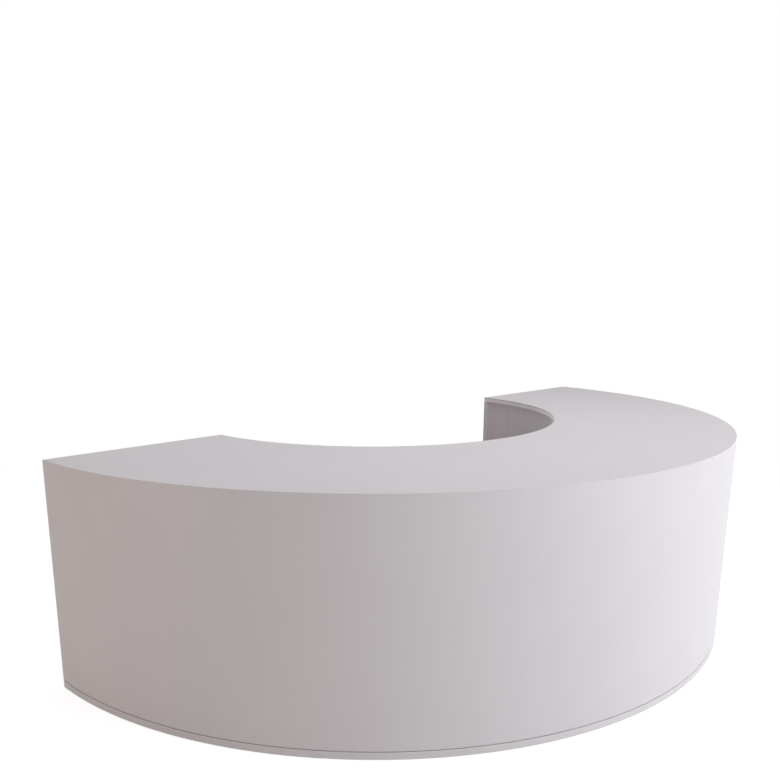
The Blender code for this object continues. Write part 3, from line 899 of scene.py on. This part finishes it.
def kerfed_skin_tree():
    """A half ring whose staff side dips at every kerf and wavers a little along the bend."""
    tree, size = new_tree(
        "kerfed_skin",
        **RING_SIZES,
        kerf_angle="Float",
        kerf_dip="Float",
        unevenness="Float",
        waves_per_metre="Float",
    )
    ring = add_node(
        tree, "GeometryNodeGroup", {name: size[name] for name in RING_SIZES}, node_tree=half_ring
    )
    position = add_node(tree, "GeometryNodeInputPosition").outputs[0]
    from_axis = add_node(
        tree, "ShaderNodeVectorMath", {0: position, 1: (0.0, RING_CENTRE_Y, 0.0)}, operation="SUBTRACT"
    )
    level = add_node(
        tree,
        "ShaderNodeVectorMath",
        {0: from_axis.outputs[0], 1: (1.0, -1.0, 0.0)},
        operation="MULTIPLY",
    )
    reach = add_node(tree, "ShaderNodeVectorMath", {0: level.outputs[0]}, operation="LENGTH")
    radii = add_node(tree, "ShaderNodeMath", {0: size["inner_radius"], 1: size["outer_radius"]})
    middle = add_node(tree, "ShaderNodeMath", {0: radii.outputs[0], 1: 0.5}, operation="MULTIPLY")
    staff_side = add_node(
        tree, "ShaderNodeMath", {0: reach.outputs["Value"], 1: middle.outputs[0]}, operation="LESS_THAN"
    )
    spot = add_node(tree, "ShaderNodeSeparateXYZ", {0: level.outputs[0]}).outputs
    turn = add_node(tree, "ShaderNodeMath", {0: spot["X"], 1: spot["Y"]}, operation="ARCTAN2")
    kerfs = add_node(
        tree, "ShaderNodeMath", {0: turn.outputs[0], 1: size["kerf_angle"]}, operation="DIVIDE"
    )
    phase = add_node(tree, "ShaderNodeMath", {0: kerfs.outputs[0], 1: 2 * math.pi}, operation="MULTIPLY")
    wave = add_node(tree, "ShaderNodeMath", {0: phase.outputs[0]}, operation="COSINE")
    hollow = add_node(tree, "ShaderNodeMath", {0: wave.outputs[0], 1: 0.0}, operation="MAXIMUM")
    dip = add_node(
        tree, "ShaderNodeMath", {0: hollow.outputs[0], 1: size["kerf_dip"]}, operation="MULTIPLY"
    )
    bend = add_node(
        tree,
        "ShaderNodeTexNoise",
        {"Vector": level.outputs[0], "Scale": size["waves_per_metre"], "Detail": 2.0},
    )
    inset = add_node(
        tree,
        "ShaderNodeMath",
        {0: bend.outputs["Fac"], 1: size["unevenness"], 2: dip.outputs[0]},
        operation="MULTIPLY_ADD",
    )
    outward = add_node(
        tree, "ShaderNodeVectorMath", {0: from_axis.outputs[0], 1: (1.0, 1.0, 0.0)}, operation="MULTIPLY"
    )
    straight = add_node(tree, "ShaderNodeVectorMath", {0: outward.outputs[0]}, operation="NORMALIZE")
    push = add_node(
        tree,
        "ShaderNodeVectorMath",
        {0: straight.outputs[0], "Scale": inset.outputs[0]},
        operation="SCALE",
    )
    streaked = add_node(
        tree,
        "GeometryNodeSetPosition",
        {"Geometry": ring.outputs[0], "Selection": staff_side.outputs[0], "Offset": push.outputs[0]},
    )
    end_tree(tree, streaked.outputs[0], size["material"])
    return tree


def upright_pattern(tree, place, width_mm, height_mm, detail):
    """A pattern of tall, narrow streaks on a bent sheet."""
    stretched = add_node(
        tree,
        "ShaderNodeMapping",
        {"Vector": place, "Scale": (per_metre(width_mm), per_metre(height_mm), 1.0)},
    )
    return add_node(
        tree, "ShaderNodeTexNoise", {"Vector": stretched.outputs[0], "Scale": 1.0, "Detail": detail}
    ).outputs["Fac"]


inner_face = INNER_RADIUS + INNER_SKIN_SETBACK

# Sprayed lacquer over flexible board: satin white with a soft orange peel, its white darker and mauve as
# painted shade, with faint upright streaks of painted shade.
shaded_inner_lacquer, tree, shader = new_finish("shaded_white_lacquer_flexible_board")
place = unrolled(tree, inner_face)
white_film(tree, shader, place, STAFF_SHADED_WHITE, STAFF_SHADED_CLOUD, LACQUER_GLOSS, LACQUER_PEEL)
shade_streaks = upright_pattern(tree, place, STREAK_WIDTH_MM, STREAK_HEIGHT_MM, detail=3.0)
share = add_node(
    tree,
    "ShaderNodeMapRange",
    {"Value": shade_streaks, "From Min": 0.45, "From Max": 0.75, "To Max": STREAK_SHADE_SHARE},
)
tint(tree, shader, share.outputs[0], STREAK_SHADE_GREY)

panel_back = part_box("right_end_panel")[0].y
board_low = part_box("top_board")[0]
kerf_count = 2 * round(math.pi * inner_face / KERF_PITCH / 2)
inner_skin = plain_piece(
    "kerfed_inner_skin",
    tree=kerfed_skin_tree(),
    sizes={
        "inner_radius": inner_face,
        "outer_radius": inner_face + INNER_SKIN_THICKNESS,
        "bottom": base_high.z,
        "top": board_low.z,
        "end_gap": RING_CENTRE_Y - panel_back,
        "steps": kerf_count * STEPS_PER_KERF,
        "material": shaded_inner_lacquer,
        "kerf_angle": math.pi / kerf_count,
        "kerf_dip": KERF_DIP,
        "unevenness": BEND_UNEVEN,
        "waves_per_metre": per_metre(BEND_UNEVEN_MM),
    },
)
dress(inner_skin, "counter", "white_flexible_board", "inner_skin")


# Outer skin
# The guests' wall: 9 mm flexible board bent round the formers, filled, sanded and sprayed in one go,
# so that it shows no joint from end to end.
SKIN_ARRIS = 0.0003
WAVER_WIDTH_MM = 60
WAVER_HEIGHT_MM = 1400
WAVER_DEPTH = 0.0006
WALL_SCUFF_FADE = 0.10
WALL_SCUFFS = 0.05

# Sprayed satin lacquer: even white, a soft orange peel, a slight upright waver from the bend.
outer_lacquer, tree, shader = new_finish("white_satin_lacquer")
place = unrolled(tree, OUTER_RADIUS)
white_film(tree, shader, place, WHITE, WHITE_CLOUD, LACQUER_GLOSS, LACQUER_PEEL)
waver = upright_pattern(tree, place, WAVER_WIDTH_MM, WAVER_HEIGHT_MM, detail=2.0)
peeled = shader.inputs["Normal"].links[0].from_socket
bent = add_node(
    tree,
    "ShaderNodeBump",
    {"Height": waver, "Distance": WAVER_DEPTH, "Strength": 1.0, "Normal": peeled},
)
tree.links.new(bent.outputs["Normal"], shader.inputs["Normal"])
add_scuffs(tree, shader, place, WALL_SCUFF_FADE, WALL_SCUFFS)

wall_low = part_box("outer_skin")[0]
sheet_low, sheet_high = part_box("top_sheet")
outer_skin = half_ring_piece(
    "bent_outer_skin",
    (OUTER_RADIUS - OUTER_SKIN_THICKNESS, OUTER_RADIUS),
    (wall_low.z, sheet_low.z),
    outer_lacquer,
    arris=SKIN_ARRIS,
    square=(sheet_low.z,),
)
dress(outer_skin, "counter", "white_skin", "outer_skin")


# Top board and its dowels
# One half ring of 18 mm board on the ribs and skins, held at the ends by fluted beech dowels. Its
# straight ends are edged white, and they are all of it that shows.
DOWEL_COUNT = 4
BAND_THICKNESS = 0.002
GROOVE_SHADE_OVERLAP = 0.0003
BEECH_PALE = "D2AC82"
BEECH_DARK = "B48757"
BEECH_FLECK_MM = (0.7, 0.7, 6)
BEECH_PORES = 0.00005
BEECH_ROUGHNESS = 0.6

# Turned beech: pinkish tan with short dark flecks along the grain.
beech, tree, shader = new_finish("turned_beech")
place = add_node(tree, "ShaderNodeTexCoord").outputs["Object"]
along = add_node(
    tree,
    "ShaderNodeMapping",
    {"Vector": place, "Scale": [per_metre(size) for size in BEECH_FLECK_MM]},
)
flecks = add_node(
    tree, "ShaderNodeTexNoise", {"Vector": along.outputs[0], "Scale": 1.0, "Detail": 4.0}
).outputs["Fac"]
two_tone(tree, shader, flecks, BEECH_PALE, BEECH_DARK, flecks, BEECH_PORES)
shader.inputs["Roughness"].default_value = BEECH_ROUGHNESS
coat_nodes(beech, *[f"top_dowel_{n}" for n in range(1, DOWEL_COUNT + 1)])

# White melamine as on the base board, with its round edge behind the edge band painted black, painted
# shade that darkens the groove above the band.
board_film, tree, shader = new_finish("white_melamine_top_board")
place = add_node(tree, "ShaderNodeTexCoord").outputs["Object"]
white_film(tree, shader, place, WHITE, WHITE_CLOUD, MELAMINE_GLOSS, MELAMINE_PEEL)
# Painted shade: the board's edge behind the band is painted black, so that the groove under the laminate
# reads as a dark line.
groove_shade_reach = INNER_RADIUS + BAND_THICKNESS + GROOVE_SHADE_OVERLAP
paint_joint_shade(tree, shader, unrolled(tree, INNER_RADIUS), 0.0, 0.0, groove_shade_reach, JOINT_SHADE_BLACK)

top_board = half_ring_piece(
    "edged_top_board",
    (INNER_RADIUS + BAND_THICKNESS, OUTER_RADIUS - OUTER_SKIN_THICKNESS),
    (board_low.z, sheet_low.z),
    board_film,
    arris=PANEL_ARRIS,
    square=(sheet_low.z,),
)
dress(top_board, "counter", "white_board", "top_board")


# Inner edge band
# A 2 mm white plastic strip on the top board's staff-side edge, glued on hot and scraped flush, with
# a fine dark groove left above it under the laminate.
BAND_ARRIS = 0.0004
BAND_SCRAPED = 0.0007
# EDGING_LIT_WHITE is painted light: a lighter white that makes the band stand out from the shaded wall
# below.
EDGING_LIT_WHITE = "F2EDF0"
EDGING_LIT_CLOUD = "EEE9ED"
EDGING_GLOSS = 0.45
EDGING_PEEL = 0.00004
DIE_LINE_STRETCH = 50

# Extruded plastic edging: a lighter white than the board, painted light for the light the band catches,
# with faint lines along it from the die.
edging, tree, shader = new_finish("lit_white_extruded_edging")
place = unrolled(tree, INNER_RADIUS)
along = add_node(
    tree, "ShaderNodeMapping", {"Vector": place, "Scale": (1 / DIE_LINE_STRETCH, 1.0, 1.0)}
)
white_film(tree, shader, along.outputs[0], EDGING_LIT_WHITE, EDGING_LIT_CLOUD, EDGING_GLOSS, EDGING_PEEL)

band_low, band_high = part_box("inner_edge_band")
edge_band = half_ring_piece(
    "edging_strip",
    (INNER_RADIUS, INNER_RADIUS + BAND_THICKNESS),
    (band_low.z, band_high.z - BAND_SCRAPED),
    edging,
    arris=BAND_ARRIS,
)
dress(edge_band, "counter", "white_laminate", "inner_edge_band")


# Top sheet
# One sheet of 1.2 mm white laminate over the whole top, glued down and trimmed flush with the wall.
# Its upper edge is eased with a file.
SHEET_ARRIS = 0.0004
LAMINATE_GLOSS = 0.62
LAMINATE_PEEL = 0.00005
LAMINATE_SPECULAR = 0.35

# Satin laminate: smooth, close white with a fine pearl in the press plate and marks from wiping.
laminate, tree, shader = new_finish("white_satin_laminate")
place = add_node(tree, "ShaderNodeTexCoord").outputs["Object"]
white_film(tree, shader, place, WHITE, WHITE_CLOUD, LAMINATE_GLOSS, LAMINATE_PEEL)
shader.inputs["Specular IOR Level"].default_value = LAMINATE_SPECULAR

top_sheet = half_ring_piece(
    "laminate_top_sheet",
    (INNER_RADIUS, OUTER_RADIUS),
    (sheet_low.z, sheet_high.z),
    laminate,
    arris=SHEET_ARRIS,
    square=(sheet_low.z,),
)
dress(top_sheet, "counter", "white_laminate", "top_sheet")


# Floor and background
# A plain pale floor that runs out of sight. Seen directly or in a reflection it reads as white with
# the counter's soft shadow on it; the light that it gives back is that of pale paint.
FLOOR_HALF = 30.0
FLOOR_PAINT = "D8D6D4"
FLOOR_SHADED = "B0B0B0"
FLOOR_GLOW = 0.84
SHADOW_REACH = 2.2
SHADOW_END = 4.5
AMBIENT = 0.018
AMBIENT_COLOUR = "FFF0F2"


def seen_rays(tree):
    """1 for rays that show a surface: from the camera, off gloss or through glass."""
    rays = add_node(tree, "ShaderNodeLightPath").outputs
    shown = add_node(
        tree, "ShaderNodeMath", {0: rays["Is Camera Ray"], 1: rays["Is Glossy Ray"]}, operation="MAXIMUM"
    )
    return add_node(
        tree, "ShaderNodeMath", {0: shown.outputs[0], 1: rays["Is Transmission Ray"]}, operation="MAXIMUM"
    ).outputs[0]


# Pale paint for the light that falls on it, white for the eye, with the shadow kept near the counter.
floor_paint, tree, shader = new_finish("pale_floor")
tree.nodes.remove(shader)
pale = add_node(tree, "ShaderNodeBsdfDiffuse", {"Color": linear(FLOOR_PAINT)})
shaded = add_node(tree, "ShaderNodeBsdfDiffuse", {"Color": linear(FLOOR_SHADED)})
base_glow = add_node(tree, "ShaderNodeEmission", {"Strength": FLOOR_GLOW})
near = add_node(tree, "ShaderNodeAddShader", {0: shaded.outputs[0], 1: base_glow.outputs[0]})
white = add_node(tree, "ShaderNodeEmission", {"Strength": 1.0})
spot = add_node(tree, "ShaderNodeTexCoord").outputs["Object"]
reach = add_node(tree, "ShaderNodeVectorMath", {0: spot}, operation="LENGTH")
share = add_node(
    tree,
    "ShaderNodeMapRange",
    {"Value": reach.outputs["Value"], "From Min": SHADOW_REACH, "From Max": SHADOW_END},
    interpolation_type="SMOOTHSTEP",
)
white_floor = add_node(
    tree, "ShaderNodeMixShader", {0: share.outputs[0], 1: near.outputs[0], 2: white.outputs[0]}
)
surface = add_node(
    tree, "ShaderNodeMixShader", {0: seen_rays(tree), 1: pale.outputs[0], 2: white_floor.outputs[0]}
)
tree.links.new(surface.outputs[0], tree.nodes["Material Output"].inputs["Surface"])
ground = bmesh.new()
bmesh.ops.create_grid(ground, x_segments=1, y_segments=1, size=FLOOR_HALF)
floor_mesh = bpy.data.meshes.new("floor")
ground.to_mesh(floor_mesh)
ground.free()
floor_mesh.materials.append(floor_paint)
floor = bpy.data.objects.new("floor", floor_mesh)
bpy.context.collection.objects.link(floor)

world = bpy.data.worlds.new("studio")
bpy.context.scene.world = world
world.use_nodes = True
tree = world.node_tree
tree.nodes.remove(tree.nodes["Background"])
ambient = add_node(tree, "ShaderNodeBackground", {"Color": linear(AMBIENT_COLOUR), "Strength": AMBIENT})
backdrop = add_node(tree, "ShaderNodeBackground", {"Color": linear("FFFFFF"), "Strength": 1.0})
sky = add_node(
    tree, "ShaderNodeMixShader", {0: seen_rays(tree), 1: ambient.outputs[0], 2: backdrop.outputs[0]}
)
tree.links.new(sky.outputs[0], tree.nodes["World Output"].inputs["Surface"])


# Studio light
# Large soft panels: the main one to the right of the counter, one overhead and weaker ones for fill.
# Two low ones behind it reach into the staff side, kept out of its gloss so that they leave no glint.
# Name: place, aim, width, colour, watts
LAMPS = {
    "key": ((1.9, -4.5, 2.7), (0.3, -0.2, 0.45), 3.6, "F9FBFF", 209.5),
    "front": ((-3.2, -4.2, 2.2), (-0.2, -0.2, 0.45), 2.4, "FFFCFD", 42.9),
    "left": ((-4.6, 0.9, 1.05), (0.0, 0.5, 0.7), 0.8, "FFEEE3", 27.3),
    "overhead": ((0.0, 0.0, 3.8), (0.0, 0.0, 0.8), 3.2, "FFFBFD", 51.4),
    "back": ((0.4, 5.2, 3.4), (0.0, 0.3, 0.6), 2.4, "FFFFFF", 25.0),
    "staff_side": ((2.6, 6.0, 0.9), (0.2, 0.6, 0.5), 1.4, "FFFFFF", 30.0),
    "bay": ((2.4, 5.2, 0.42), (0.0, 0.5, 0.42), 0.8, "FFFFFF", 90.0),
}
LOW_LAMPS = ("staff_side", "bay")
for name, (place, aim, width, shade, watts) in LAMPS.items():
    lamp = bpy.data.lights.new(name, "AREA")
    lamp.shape = "SQUARE"
    lamp.size = width
    lamp.color = linear(shade)[:3]
    lamp.energy = watts
    stand = bpy.data.objects.new(name, lamp)
    stand.location = place
    stand.rotation_euler = (Vector(aim) - Vector(place)).to_track_quat("-Z", "Y").to_euler()
    stand.visible_glossy = name not in LOW_LAMPS
    bpy.context.collection.objects.link(stand)


# Camera
# Stands on the guests' side, left of the middle and a little above eye height of a seated guest. The
# shift keeps the counter low in a frame that is nearly square.
IMAGE_WIDTH, IMAGE_HEIGHT = 780, 781
FOCAL_PIXELS = 835.98
PRINCIPAL_X, PRINCIPAL_Y = 361.88, 500.0
CAMERA_PLACE = (-2.5775, -1.9345, 1.3685)
CAMERA_YAW = 0.7534
CAMERA_PITCH = 0.2495
CAMERA_ROLL = 0.0016
SENSOR = 36.0
camera = bpy.data.cameras.new("camera")
camera.sensor_width = SENSOR
camera.lens = SENSOR * FOCAL_PIXELS / IMAGE_HEIGHT
camera.shift_x = (IMAGE_WIDTH / 2 - PRINCIPAL_X) / IMAGE_HEIGHT
camera.shift_y = (PRINCIPAL_Y - IMAGE_HEIGHT / 2) / IMAGE_HEIGHT
tripod = bpy.data.objects.new("camera", camera)
aimed = Matrix.Rotation(-CAMERA_YAW, 4, "Z") @ Matrix.Rotation(math.pi / 2 - CAMERA_PITCH, 4, "X")
tripod.matrix_world = Matrix.Translation(CAMERA_PLACE) @ aimed @ Matrix.Rotation(-CAMERA_ROLL, 4, "Z")
bpy.context.collection.objects.link(tripod)
bpy.context.scene.camera = tripod
bpy.context.scene.view_settings.view_transform = "Standard"
